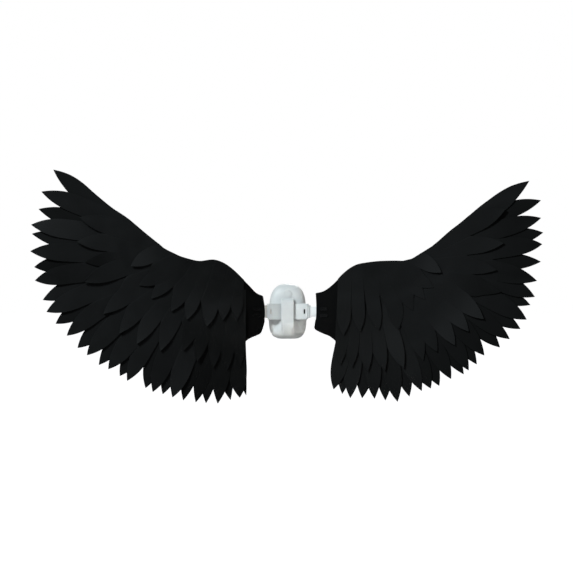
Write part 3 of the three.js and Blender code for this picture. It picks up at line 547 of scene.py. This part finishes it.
def make_housing():
    sections = through(SHELL_SECTIONS, 6)
    front = [(-34.45, 0.36), (-34.6, 0.2), (-34.66, 0.06)]
    outer = [shell_ring(y, k) for y, k in sections] + [shell_ring(y, k) for y, k in front]
    inner = [shell_ring(min(0.0, y + SHELL_WALL * max(0.0, (-20 - y) / 14.2)), k - SHELL_WALL / SHELL_HALF_WIDTH) for y, k in sections]
    verts, faces = loft(inner[::-1] + outer)
    new_piece("housing_shell_moulding", verts * MM, faces, WHITE_PLASTIC, "housing", ["housing_shell"])

    plate = shell_ring(0, 0.985 - (SHELL_WALL + 2 * GAP) / SHELL_HALF_WIDTH)[:, [0, 2]]
    v, f = slab(plate, 0.0, 2.5, 0.5)
    v = np.stack([v[:, 0], -v[:, 2], v[:, 1]], 1)
    new_piece("back_plate_moulding", v * MM, f, WHITE_PLASTIC, "housing", ["back_plate"])

    # the spine: a side profile across the housing, joined with the flare at its foot
    profile = through([(-26, -50), (-34, -48), (-41, -44), (-46, -38), (-49.2, -32), (-50.6, -27), (-51, -22)], 6)
    profile = np.vstack([profile, through([(-51, 18.5), (-50, 21), (-46.5, 23.5), (-40, 25.5), (-32, 26.5)], 5), [(-18, 26.5), (-18, -50)]])
    v, f = slab(profile, -13.0, 13.0, 1.5, 4)
    spine = (np.stack([v[:, 2], v[:, 0], v[:, 1]], 1), f)
    # height, half width of its middle, half width of all, front and how soft it is; its
    # hollow flanks run out into the shell's front
    flare_rows = through([
        (-17.8, 11.5, 18.5, -50.4, 0), (-20, 11.5, 20, -50.4, 0), (-26, 11.3, 24.5, -50.2, 0), (-32, 10.5, 28.5, -49.4, 0.2),
        (-38, 8.5, 32, -47.1, 0.55), (-44, 6, 33, -43.7, 0.9), (-50, 4, 30, -39.2, 1), (-55, 3, 24.5, -33, 1),
    ], 6)
    flank = np.linspace(0, 1, 33)
    rings = []
    for z, flat, half, nose, soft in flare_rows:
        x = flat + (half - flat) * flank
        x = np.concatenate([-x[::-1], x])
        fall = np.clip(1 - soft, 0, 1) * (1 - flank) ** 2.2 + np.clip(soft, 0, 1) * (1 - smoothstep(flank))
        skin = shell_front(x, np.full(66, z)) + 0.5
        front = skin + (nose - skin) * np.concatenate([fall[::-1], fall])
        rings.append(np.stack([np.concatenate([x, x[[-1, 0]]]), np.concatenate([front, [-4, -4]]), np.full(68, z)], 1))
    flare = loft(rings)
    under = 1.3
    room = loft([shell_ring(y + under * max(0.0, (-20 - y) / 14.2), k - under / SHELL_HALF_WIDTH, 96) for y, k in sections[::2]]
                + [shell_ring(-34.66 + under, 0.36, 96), shell_ring(-34.66 + under, 0.05, 96)])
    pockets = [
        box((-30, HINGE_Y - 9.4, -17.2), (-5.5, -25, 16.6)),
        box((5.5, HINGE_Y - 9.4, -17.2), (30, -25, 16.6)),
    ]
    verts, faces = moulded(spine, [flare], [room, *pockets], 0.42, 5)
    new_piece("spine_cover_moulding", verts * MM, faces, WHITE_PLASTIC, "housing", ["spine_cover"], sharp=60)

    # the bare disc on the dome
    turn = np.linspace(0, 2 * math.pi, 72, endpoint=False)
    disc_rows = [(8.5, 0), (8.5, 3.4), (8.36, 3.8), (8.0, 4.0), (7.3, 4.0), (7.1, 3.85), (7.0, 3.5), (6.6, 3.4), (6.2, 3.5), (6.1, 3.85), (5.9, 4.05), (3, 4.3), (0.5, 4.36)]
    v, f = loft([np.stack([r * np.cos(turn), np.full(72, -31.4 - up), 36.4 + r * np.sin(turn)], 1) for r, up in disc_rows])
    disc = (v, f)
    new_piece("plain_disc_moulding", disc[0] * MM, disc[1], WHITE_PLASTIC, "housing", ["plain_disc"])

    for name in ("left_hinge_pin", "right_hinge_pin"):
        nodes[name].data.materials.clear()
        nodes[name].data.materials.append(PIN_STEEL)


# ---------------------------------------------------------------------- wings
class Ground:
    """The height of what is already laid on the wing, on a 1 mm grid."""

    def __init__(self):
        self.u0, self.z0 = 20, -230
        self.map = np.full((560, 560), PANEL_FRONT)

    def cells(self, u, z):
        return (np.clip(np.round(u - self.u0).astype(int), 0, 559), np.clip(np.round(z - self.z0).astype(int), 0, 559))

    def lay(self, u, z, w):
        np.maximum.at(self.map, self.cells(u.ravel(), z.ravel()), w.ravel())

    def cover(self, reach):
        """A soft surface that lies on the map and never dips below it."""
        held = self.map
        for axis in (0, 1):
            held = np.max([np.roll(held, k, axis) for k in range(-reach, reach + 1)], 0)
        for axis in (0, 1):
            held = np.mean([np.roll(held, k, axis) for k in range(-reach, reach + 1)], 0)
        held = held + REST_GAP

        def height(u, z):
            fu, fz = np.clip(u - self.u0, 0, 558), np.clip(z - self.z0, 0, 558)
            i, j = fu.astype(int), fz.astype(int)
            fu, fz = fu - i, fz - j
            return ((held[i, j] * (1 - fu) + held[i + 1, j] * fu) * (1 - fz)
                    + (held[i, j + 1] * (1 - fu) + held[i + 1, j + 1] * fu) * fz)
        return height


class Feather:
    ACROSS = 13
    ALONG = 40

    def __init__(self, wing, row, length, long, hug=False):
        self.wing, self.row, self.length, self.long, self.hug = wing, row, length, long, hug
        self.key = (row["u"] * 0.01, row["z"] * 0.01, wing["side"])
        self.aim = math.radians(row["aim"])
        self.slit = row["slit"]
        self.on_top = {-1: 0.4, 1: 0.4}            # outer side, inner side: share of the lift
        self.clipped = {-1: None, 1: None}
        self.s = np.arange(0, long + 1.5, 1.5)
        turned = self.aim + math.radians(row.get("turn", 0.0)) * smoothstep((self.s - row["slit"]) / 70)
        self.way = turned
        step = np.diff(self.s, prepend=0)
        self.mid_u = row["u"] - np.cumsum(step * np.cos(turned))
        self.mid_z = row["z"] - np.cumsum(step * np.sin(turned))
        self.edges = {-1: -self.half(self.s), 1: self.half(self.s)}

    def half(self, s):
        t = 1 - s / self.length
        tip = 1 - np.clip((t - WIDEST) / (1 - WIDEST), 0, 1) ** self.row.get("full", 2.4)
        return 0.5 * self.row["wide"] * np.where(t < WIDEST, 1.0, tip)

    def bow(self, s):
        t = np.clip(1 - s / self.length, 0, 1)
        return self.row.get("skew", 0.1) * self.row["wide"] * (t ** 3 - 1)

    def at(self, s, over, inside=True):
        """Wing point at s mm from the tip and over mm across, over > 0 on the inner side."""
        x = over + self.bow(s)
        way = np.interp(s, self.s, self.way)
        u = np.interp(s, self.s, self.mid_u) + x * np.sin(way)
        z = np.interp(s, self.s, self.mid_z) - x * np.cos(way)
        if self.hug:
            # the first feather follows the leading edge once it is past its tip
            edge, length = self.wing["edge"], self.wing["edge_length"]
            eu, ez = (np.interp(s, length, edge[:, k]) for k in (0, 1))
            du, dz = (np.interp(s, length, self.wing["edge_in"][:, k]) for k in (0, 1))
            deep = 0.5 * self.row["wide"] + 0.4 + over
            k = smoothstep((s - 30) / 80)
            u, z = (1 - k) * u + k * (eu + du * deep), (1 - k) * z + k * (ez + dz * deep)
        elif inside:
            # nothing stands out past the leading edge
            z = np.where(s > 40, np.minimum(z, self.wing["edge_height"](u) - 0.4), z)
        return u, z

    def local(self, u, z):
        """s and over of wing points."""
        du, dz = u[:, None] - self.mid_u, z[:, None] - self.mid_z
        k = np.argmin(du * du + dz * dz, 1)
        du, dz, way = u - self.mid_u[k], z - self.mid_z[k], self.way[k]
        s = self.s[k] - du * np.cos(way) - dz * np.sin(way)
        return s, du * np.sin(way) - dz * np.cos(way) - self.bow(s)

    def tuck(self, side, other, fill):
        """Ends this feather at the edge of the neighbour that lies over it on one side."""
        u, z = other.at(other.s, other.edges[-side], inside=False)
        s, x = self.local(u, z)
        fill = self.row.get("fill", (fill, fill))[0 if side < 0 else 1]
        order = np.argsort(s)
        s, x = s[order], x[order]
        meets = (self.s >= s[0]) & (self.s <= s[-1])
        limit = np.interp(self.s, s, x)
        own = self.edges[side]
        gap = (limit - own) * side                 # > 0: the neighbour's edge lies further out
        close = smoothstep((self.s - 0.55 * other.slit) / (0.45 * other.slit))
        grown = own + side * np.minimum(np.maximum(gap, 0), fill) * close
        new = np.where(meets, np.where(gap < 0, limit, grown), own)
        self.clipped[side] = meets & (gap < fill) & ((gap <= 0) | (close > 0.9))
        # never past its own middle line
        self.edges[side] = side * np.maximum(side * new, -0.35 * self.row["wide"])
        self.on_top[side], other.on_top[-side] = 0.0, 1.0

    def settle(self):
        """How far back the blade runs at each place across before the leading edge ends it."""
        a = np.linspace(-1, 1, 41)
        lo, hi = self.edges[-1], self.edges[1]
        crossed = lo > hi
        lo[crossed] = hi[crossed] = 0.5 * (lo + hi)[crossed]
        reach = []
        for x in a:
            if self.hug:
                reach.append(self.long)
                continue
            u, z = self.at(self.s, lo + (hi - lo) * (x + 1) / 2, inside=False)
            out = (z > self.wing["edge_height"](u) - 0.4) & (self.s > 40)
            reach.append(self.s[np.argmax(out)] if out.any() else self.long)
        self.reach = np.array(reach)

    def side_at(self, side, s):
        return np.interp(s, self.s, self.edges[side])

    def grid(self, along, across):
        """s, place across, over on a grid: along from 0 at the tip to 1 at the root."""
        a = np.broadcast_to(across[None, :], (len(along), len(across)))
        s = 0.35 + along[:, None] * (np.interp(a, np.linspace(-1, 1, 41), self.reach) - 0.35)
        return s, a, self.over(s, a)

    def over(self, s, a):
        lo, hi = self.side_at(-1, s), self.side_at(1, s)
        return lo + (hi - lo) * (a + 1) / 2

    def edge_lift(self, side, s):
        return self.on_top[side] * 0.72 * self.row["lift"] * smoothstep(1.15 * (1 - s / self.slit))

    def raised(self, s, a):
        """How far the underside stands off the row's surface."""
        inner = self.edge_lift(1, s) * np.clip((a + 1) / 2, 0, 1) ** 1.5
        outer = self.edge_lift(-1, s) * np.clip((1 - a) / 2, 0, 1) ** 1.5
        curl = self.row["curl"] * np.clip(1 - s / (0.5 * self.length), 0, 1) ** 2
        crown = 0.5 * (1 - a * a) * smoothstep(s / 25) * smoothstep(1 - s / (1.4 * self.slit))
        sink = self.row.get("sink", 0.0) * smoothstep(1 - s / 70)
        return inner + outer + curl + crown - sink

    def underside(self, s, a, surface):
        u, z = self.at(s, self.over(s, a))
        return surface(u, z) + self.raised(s, a)

    def lay(self, ground, surface):
        s, a, over = self.grid(np.linspace(0, 1, 320), np.linspace(-1, 1, 70))
        u, z = self.at(s, over)
        ground.lay(u, z, self.underside(s, a, surface) + FOAM)

    def mesh(self, surface):
        along = np.linspace(0, 1, self.ALONG * (2 if self.hug else 1)) ** 1.3
        across = np.linspace(-1, 1, self.ACROSS)
        s, a, over = self.grid(along, across)
        wide = np.maximum(self.side_at(1, s) - self.side_at(-1, s), 1e-3)

        def rim(side):
            """Rounding of a cut edge: none where the sheet goes on into its neighbour."""
            r = EDGE_ROUND * smoothstep(self.edge_lift(side, s[:, :1]) / 0.5) if self.on_top[side] > 0 else np.full((len(along), 1), EDGE_ROUND)
            if self.clipped[side] is not None:
                r = r * (1 - np.interp(s[:, :1], self.s, self.clipped[side].astype(float)))
            return np.clip(np.minimum(r, 0.3 * wide[:, :1]), 0.02, None)
        r_out, r_in = rim(-1), rim(1)
        # the top and the underside stop short of the edges by the rounding
        low = np.minimum(-1 + 2 * r_out / wide[:, :1], 0)
        high = np.maximum(1 - 2 * r_in / wide[:, -1:], 0)
        inset = low + (high - low) * (a + 1) / 2

        def points(ss, aa, up):
            u, z = self.at(ss, self.over(ss, aa))
            return np.stack([u, z, self.underside(ss, aa, surface) + up], -1)
        top, under = points(s, inset, FOAM), points(s, inset, 0.0)

        def side_points(side, r):
            at_s, at_a = (s[:, -1:], a[:, -1:]) if side > 0 else (s[:, :1], a[:, :1])
            tucked = 0.0 if self.clipped[side] is None else np.interp(at_s, self.s, self.clipped[side].astype(float))
            u, z = self.at(at_s, self.over(at_s, at_a) + side * 2.4 * tucked)
            low = self.underside(at_s, at_a, surface)
            high = low + FOAM - r - (1.3 - r) * tucked
            low = low + r - (0.1 + r) * tucked
            return np.stack([u, z, high], -1), np.stack([u, z, low], -1)
        inner = side_points(1, r_in)
        outer = side_points(-1, r_out)[::-1]
        ring = np.concatenate([top, inner[0], inner[1], under[:, ::-1], outer[0], outer[1]], 1)
        n_s, n_r = ring.shape[:2]
        m = self.ACROSS
        faces = []
        for i in range(n_s - 1):
            for k in range(n_r):
                j = (k + 1) % n_r
                faces.append((i * n_r + k, i * n_r + j, (i + 1) * n_r + j, (i + 1) * n_r + k))
        # ends: strips between the top and the underside, then the rounded corners
        for base, flip in ((0, False), ((n_s - 1) * n_r, True)):
            ends = [(base + k, base + k + 1, base + 2 * m - k, base + 2 * m + 1 - k) for k in range(m - 1)]
            ends.append((base + m - 1, base + m, base + m + 1, base + m + 2))
            ends.append((base + 2 * m + 1, base + 2 * m + 2, base + 2 * m + 3, base))
            faces += [face if flip else face[::-1] for face in ends]
        # the tone of a feather, painted shade and light, fades into the tone at its root, which is darker towards the
        # inner wing: painted shade
        shade = self.row["tone"] + 0.06 * (chance(*self.key, 7.7) - 0.5)
        rest = self.wing["rest_tone"] + 0.22 * smoothstep((self.at(s, over)[0] - 90) / 200)
        own = rest + (shade - rest) * (1 - smoothstep((s - 0.5 * self.slit) / (1.1 * self.slit)))
        tone = np.concatenate([own, own[:, -1:], own[:, -1:], own[:, ::-1], own[:, :1], own[:, :1]], 1)
        return ring.reshape(-1, 3), faces, tone.ravel()


def lay_row(feathers, order, fill):
    """Ends the lower one of each two neighbours in a row at the upper one's edge."""
    pairs = [(i, order[min(i, len(order) - 1)]) for i in range(len(feathers) - 1)]
    for i, over in [p for p in pairs if p[1] == "o"] + [p for p in pairs if p[1] == "i"][::-1]:
        outer, inner = feathers[i], feathers[i + 1]
        if outer.hug or inner.hug:
            continue
        if over == "o":
            inner.tuck(-1, outer, fill)
        else:
            outer.tuck(1, inner, fill)
    for feather in feathers:
        feather.settle()


def make_feathers(wing):
    side, name = wing["side"], wing["name"]
    edge = softened(evened(through(wing["leading"], 8), 3.0), 6)
    wing["edge"] = edge
    wing["edge_length"] = np.concatenate([[0], np.cumsum(np.hypot(*np.diff(edge, axis=0).T))])
    run = np.gradient(edge, axis=0)
    run /= np.hypot(*run.T)[:, None]
    inward = np.stack([run[:, 1], -run[:, 0]], 1)
    inward[inward[:, 1] > 0] *= -1
    wing["edge_in"] = inward
    order = np.argsort(edge[:, 0])
    wing["edge_height"] = lambda u: np.interp(u, edge[order, 0], edge[order, 1])

    ground = Ground()

    # the base sheet, from the leading edge to half way down the flight feathers
    def middle_of(row, t):
        aim = math.radians(row["aim"])
        s = (1 - t) * FLIGHT_LENGTH
        return row["u"] - s * math.cos(aim), row["z"] - s * math.sin(aim)
    lower = softened(evened(through([middle_of(row, 0.5) for row in wing["flights"]], 4), 4.0), 10)
    top = edge[edge[:, 0] < 432] + np.array([0.0, -0.8])
    tab = rounded([top[-1], *wing["tab"], lower[-1]], 5.0)[6:-6]
    outline = np.vstack([top, tab, lower[::-1]])
    v, f = slab(outline, PANEL_BACK, PANEL_FRONT, 0.5, 3)
    # the back of the sheet keeps the foam's own dark; its front is painted darker, most of all on the left wing:
    # painted shade of the sheet lying under the feathers
    new_piece(f"{name}_base_sheet", wing_to_world(v, side), f, PANEL_FOAM_AND_SHADE, f"{name}_wing", [f"{name}_wing_panel"],
              tone=np.where(v[:, 2] < 0.5 * (PANEL_BACK + PANEL_FRONT), 1.0, wing["sheet_painted_shade"]))

    for rows, slit in ((wing["flights"], 95.0), (wing["middle"], 62.0), (wing["upper"], 48.0)):
        for row in rows:
            row.setdefault("slit", slit)
            row.setdefault("curl", 0.22 * row["lift"])
    flights = [Feather(wing, row, FLIGHT_LENGTH, 300.0 if i == 0 else (205.0 if i == 1 else 172.0), hug=i == 0)
               for i, row in enumerate(wing["flights"])]
    back = [f for f in flights if not f.row["front"]]
    front = [f for f in flights if f.row["front"]]
    middle = [Feather(wing, row, MIDDLE_LENGTH, row["long"]) for row in wing["middle"]]
    upper = [Feather(wing, row, UPPER_LENGTH, row["long"]) for row in wing["upper"]]
    for label, node, row, over, fill in (
            ("back_flight_feathers", "back_flights", back, wing["flights_over"], 0.0),
            ("front_flight_feathers", "front_flights", front, wing["flights_over"], 0.0),
            ("middle_covert_feathers", "middle_coverts", middle, wing["middle_over"], 16.0),
            ("upper_covert_feathers", "upper_coverts", upper, wing["upper_over"], 16.0)):
        lay_row(row, over, fill)
        surface = ground.cover(9)
        parts, tone = [], []
        for feather in row:
            feather.lay(ground, surface)
            v, f, t = feather.mesh(surface)
            parts.append((v, f))
            tone.append(t)
        verts, faces = joined(parts)
        print(name, label, len(row), "feathers, height", round(float(verts[:, 2].min()), 1), round(float(verts[:, 2].max()), 1), len(faces))
        new_piece(f"{name}_{label}", wing_to_world(verts, side), faces, FEATHER_FOAM, f"{name}_wing", [f"{name}_{node}"],
                  tone=np.concatenate(tone), sharp=40)


def make_arm(wing):
    side, name = wing["side"], wing["name"]
    body = f"{name}_wing"
    def flat(v):
        return wing_to_world(v, side)
    ARM_TOP, ARM_BOTTOM, ARM_HALF, ARM_END, SLOT_AT = 16.2, -16.8, 4.5, 32.6, 25.2
    outline = [(0, ARM_BOTTOM), (ARM_END - 3, ARM_BOTTOM), (ARM_END, ARM_BOTTOM + 5), (ARM_END, ARM_TOP), (0, ARM_TOP)]
    block = slab(rounded(outline, 1.4), -ARM_HALF, ARM_HALF, 0.9, 3)
    turn = np.linspace(0, 2 * math.pi, 48, endpoint=False)
    rings = [np.stack([4.5 * np.cos(turn), np.full(48, z), 4.5 * np.sin(turn)], 1) for z in (ARM_BOTTOM, ARM_TOP)]
    bore = [np.stack([1.9 * np.cos(turn), np.full(48, z), 1.9 * np.sin(turn)], 1) for z in (-30, 30)]
    verts, faces = moulded(block, [loft(rings)], [
        loft(bore),
        box((13, -10.4, -2), (40, 10.4, 2)),
        box((SLOT_AT - 1.7, -5.25, 0), (SLOT_AT + 1.7, 5.25, 10)),
    ], 0.36, 4)
    # the left arm takes the darkened copy of the white plastic: painted shade
    new_piece(f"{name}_arm_moulding", flat(verts), faces, LEFT_ARM_SHADE_PLASTIC if side < 0 else WHITE_PLASTIC, body, [f"{name}_arm"], sharp=60)

    lip = slab(rounded([(33, -13.2), (35.8, -13.2), (37, -11.2), (37, 12.8), (33, 12.8)], 0.7), -3.7, 3.7, 0.5, 2)
    # the mouth is cut back at the front
    bevel = loft([np.array([(37.6, z, 2.1), (37.6, z, 4.2), (34.4, z, 4.2)]) for z in (-20.0, 20.0)])
    verts, faces = moulded(lip, [], [box((30, -10.4, -2), (42, 10.4, 2)), bevel], 0.25, 3)
    # the left lip takes the grey-beige painted shade, the right one the plain white
    new_piece(f"{name}_arm_lip_ring", flat(verts), faces, LEFT_MOUTH_SHADE_PLASTIC if side < 0 else WHITE_PLASTIC, body, [f"{name}_arm_lip"],
              sharp=60)

    latch = slab(rounded([(SLOT_AT - 1.3, -4.85), (SLOT_AT + 1.3, -4.85), (SLOT_AT + 1.3, 4.85), (SLOT_AT - 1.3, 4.85)], 0.6), 2.0, 3.7, 0.4, 2)
    # the left latch takes the grey-beige painted shade
    new_piece(f"{name}_latch", flat(latch[0]), latch[1], LEFT_MOUTH_SHADE_PLASTIC if side < 0 else DARK_PLASTIC, body, [f"{name}_latch_tab"])

    # the tongue, which widens into a pad under the rivets
    end, pad = wing["tongue_end"], wing["rivet_at"] - 9
    tongue = slab(rounded([(14, -10), (pad - 3, -10), (pad, -13.6), (end, -13.6), (end, 10.6), (pad, 10.6), (pad - 2, 10), (14, 10)], 2.0), -1.6, 1.6, 0.6, 3)
    # the tongue takes the brightened white: painted light
    new_piece(f"{name}_tongue_plate", flat(tongue[0]), tongue[1], TONGUE_LIGHT_PLASTIC, body, [f"{name}_tongue"])

    for where, z in (("upper", 5.4), ("lower", -8.4)):
        at = wing["rivet_at"]
        angle = np.linspace(0, 2 * math.pi, 48, endpoint=False) + math.pi / 48
        pill = np.stack([at + np.sign(np.cos(angle)) * 4.5 + 3.5 * np.cos(angle), z + 3.5 * np.sin(angle)], 1)
        round_head = np.stack([at + 3.5 * np.cos(angle), z + 3.5 * np.sin(angle)], 1)
        shank = np.stack([at + 2.2 * np.cos(angle), z + 2.2 * np.sin(angle)], 1)
        # the head: a rounded rim round a long dished slot
        head_rows = [(0.15, 4.6), (0, 4.8), (0, 5.4), (0.12, 5.8), (0.4, 6.1), (0.8, 6.2), (1.25, 6.2), (1.5, 6.08), (1.66, 5.8), (1.85, 5.55), (2.6, 5.5)]
        head = loft([np.column_stack([offset_loop(pill, inset), np.full(48, up)]) for inset, up in head_rows])
        verts, faces = joined([head, slab(shank, -2.2, 5.0, 0.1, 1), slab(round_head, -3.4, -2.0, 0.6, 4)])
        # the left rivets take the darker black: painted shade
        new_piece(f"{name}_{where}_rivet_head", flat(verts), faces, LEFT_RIVET_SHADE_PLASTIC if side < 0 else DARK_PLASTIC, body, [f"{name}_{where}_rivet"])


make_housing()
for wing in (LEFT, RIGHT):
    make_arm(wing)
    make_feathers(wing)

# ----------------------------------------------------------- stage and camera
scene = bpy.context.scene
scene.view_settings.view_transform = "Standard"
scene.view_settings.look = "None"
scene.view_settings.exposure = 0.0
scene.view_settings.gamma = 1.0

floor_data = bpy.data.meshes.new("floor")
around = [(40 * math.cos(a), 40 * math.sin(a), -0.72) for a in np.linspace(0, 2 * math.pi, 96, endpoint=False)]
floor_data.from_pydata(around, [], [tuple(range(96))])
floor = bpy.data.objects.new("floor", floor_data)
scene.collection.objects.link(floor)
floor_material, tree, shader = nodes_of("pale_floor")
tree.links.new(colours(tree, noise(tree, 1.5), [(0.2, (0.90, 0.90, 0.90)), (0.8, (0.94, 0.94, 0.94))]), shader.inputs["Base Color"])
shader.inputs["Roughness"].default_value = 0.9
shader.inputs["Specular IOR Level"].default_value = 0.1
shader.inputs["Emission Color"].default_value = (1, 1, 1, 1)
shader.inputs["Emission Strength"].default_value = 0.85
floor_data.materials.append(floor_material)
floor.visible_diffuse = floor.visible_glossy = False

world = bpy.data.worlds.new("studio")
scene.world = world
world.use_nodes = True
tree = world.node_tree
tree.nodes.clear()
out = tree.nodes.new("ShaderNodeOutputWorld")
seen, lit = tree.nodes.new("ShaderNodeBackground"), tree.nodes.new("ShaderNodeBackground")
seen.inputs["Color"].default_value, seen.inputs["Strength"].default_value = (1, 1, 1, 1), 1.0
lit.inputs["Color"].default_value, lit.inputs["Strength"].default_value = (0.94, 0.97, 1, 1), 0.22
mix, path = tree.nodes.new("ShaderNodeMixShader"), tree.nodes.new("ShaderNodeLightPath")
tree.links.new(path.outputs["Is Camera Ray"], mix.inputs["Fac"])
tree.links.new(lit.outputs["Background"], mix.inputs[1])
tree.links.new(seen.outputs["Background"], mix.inputs[2])
tree.links.new(mix.outputs["Shader"], out.inputs["Surface"])


def lamp(name, place, target, size, power, colour, spread=math.pi):
    data = bpy.data.lights.new(name, "AREA")
    data.shape, data.size, data.energy, data.color, data.spread = "DISK", size, power, colour, spread
    obj = bpy.data.objects.new(name, data)
    obj.location = place
    towards = Matrix.Translation(target).translation - Matrix.Translation(place).translation
    obj.rotation_euler = towards.to_track_quat("-Z", "Y").to_euler()
    scene.collection.objects.link(obj)


lamp("key", (-1.9, -2.5, 2.1), (0, -0.05, 0.05), 0.8, 108, (0.90, 1, 1.03))
lamp("fill", (0.3, -1.2, -2.6), (0, -0.05, 0.05), 1.6, 17, (1, 0.96, 0.89))
lamp("left_reflector", (-0.8, -0.9, -0.75), (0, -0.04, -0.03), 0.2, 0.02, (1, 0.96, 0.91), math.radians(12))
lamp("right_reflector", (0.9, -0.9, -0.7), (0, -0.04, -0.03), 0.2, 0.042, (1, 0.93, 0.83), math.radians(12))
lamp("left_rim", (-1.8, 0.75, -0.5), (0, -0.02, -0.01), 0.2, 0.035, (1, 0.96, 0.91), math.radians(12))
lamp("right_rim", (1.8, 0.75, 0.9), (0, -0.02, 0), 0.2, 0.04, (1, 0.93, 0.84), math.radians(12))
lamp("rear", (0.6, 2.4, 1.8), (0, 0, 0.05), 1.4, 40, (1, 1, 1))

camera_data = bpy.data.cameras.new("camera")
camera_data.sensor_fit = "HORIZONTAL"
camera_data.sensor_width = 36.0
camera_data.lens = 36.0 * 1534.37 / 573.0
camera_data.clip_end = 200.0
camera = bpy.data.objects.new("camera", camera_data)
camera.location = (-2.266 * MM, -3.2, 51.5 * MM)
camera.rotation_euler = (math.pi / 2, 0, 0)
scene.collection.objects.link(camera)
scene.camera = camera
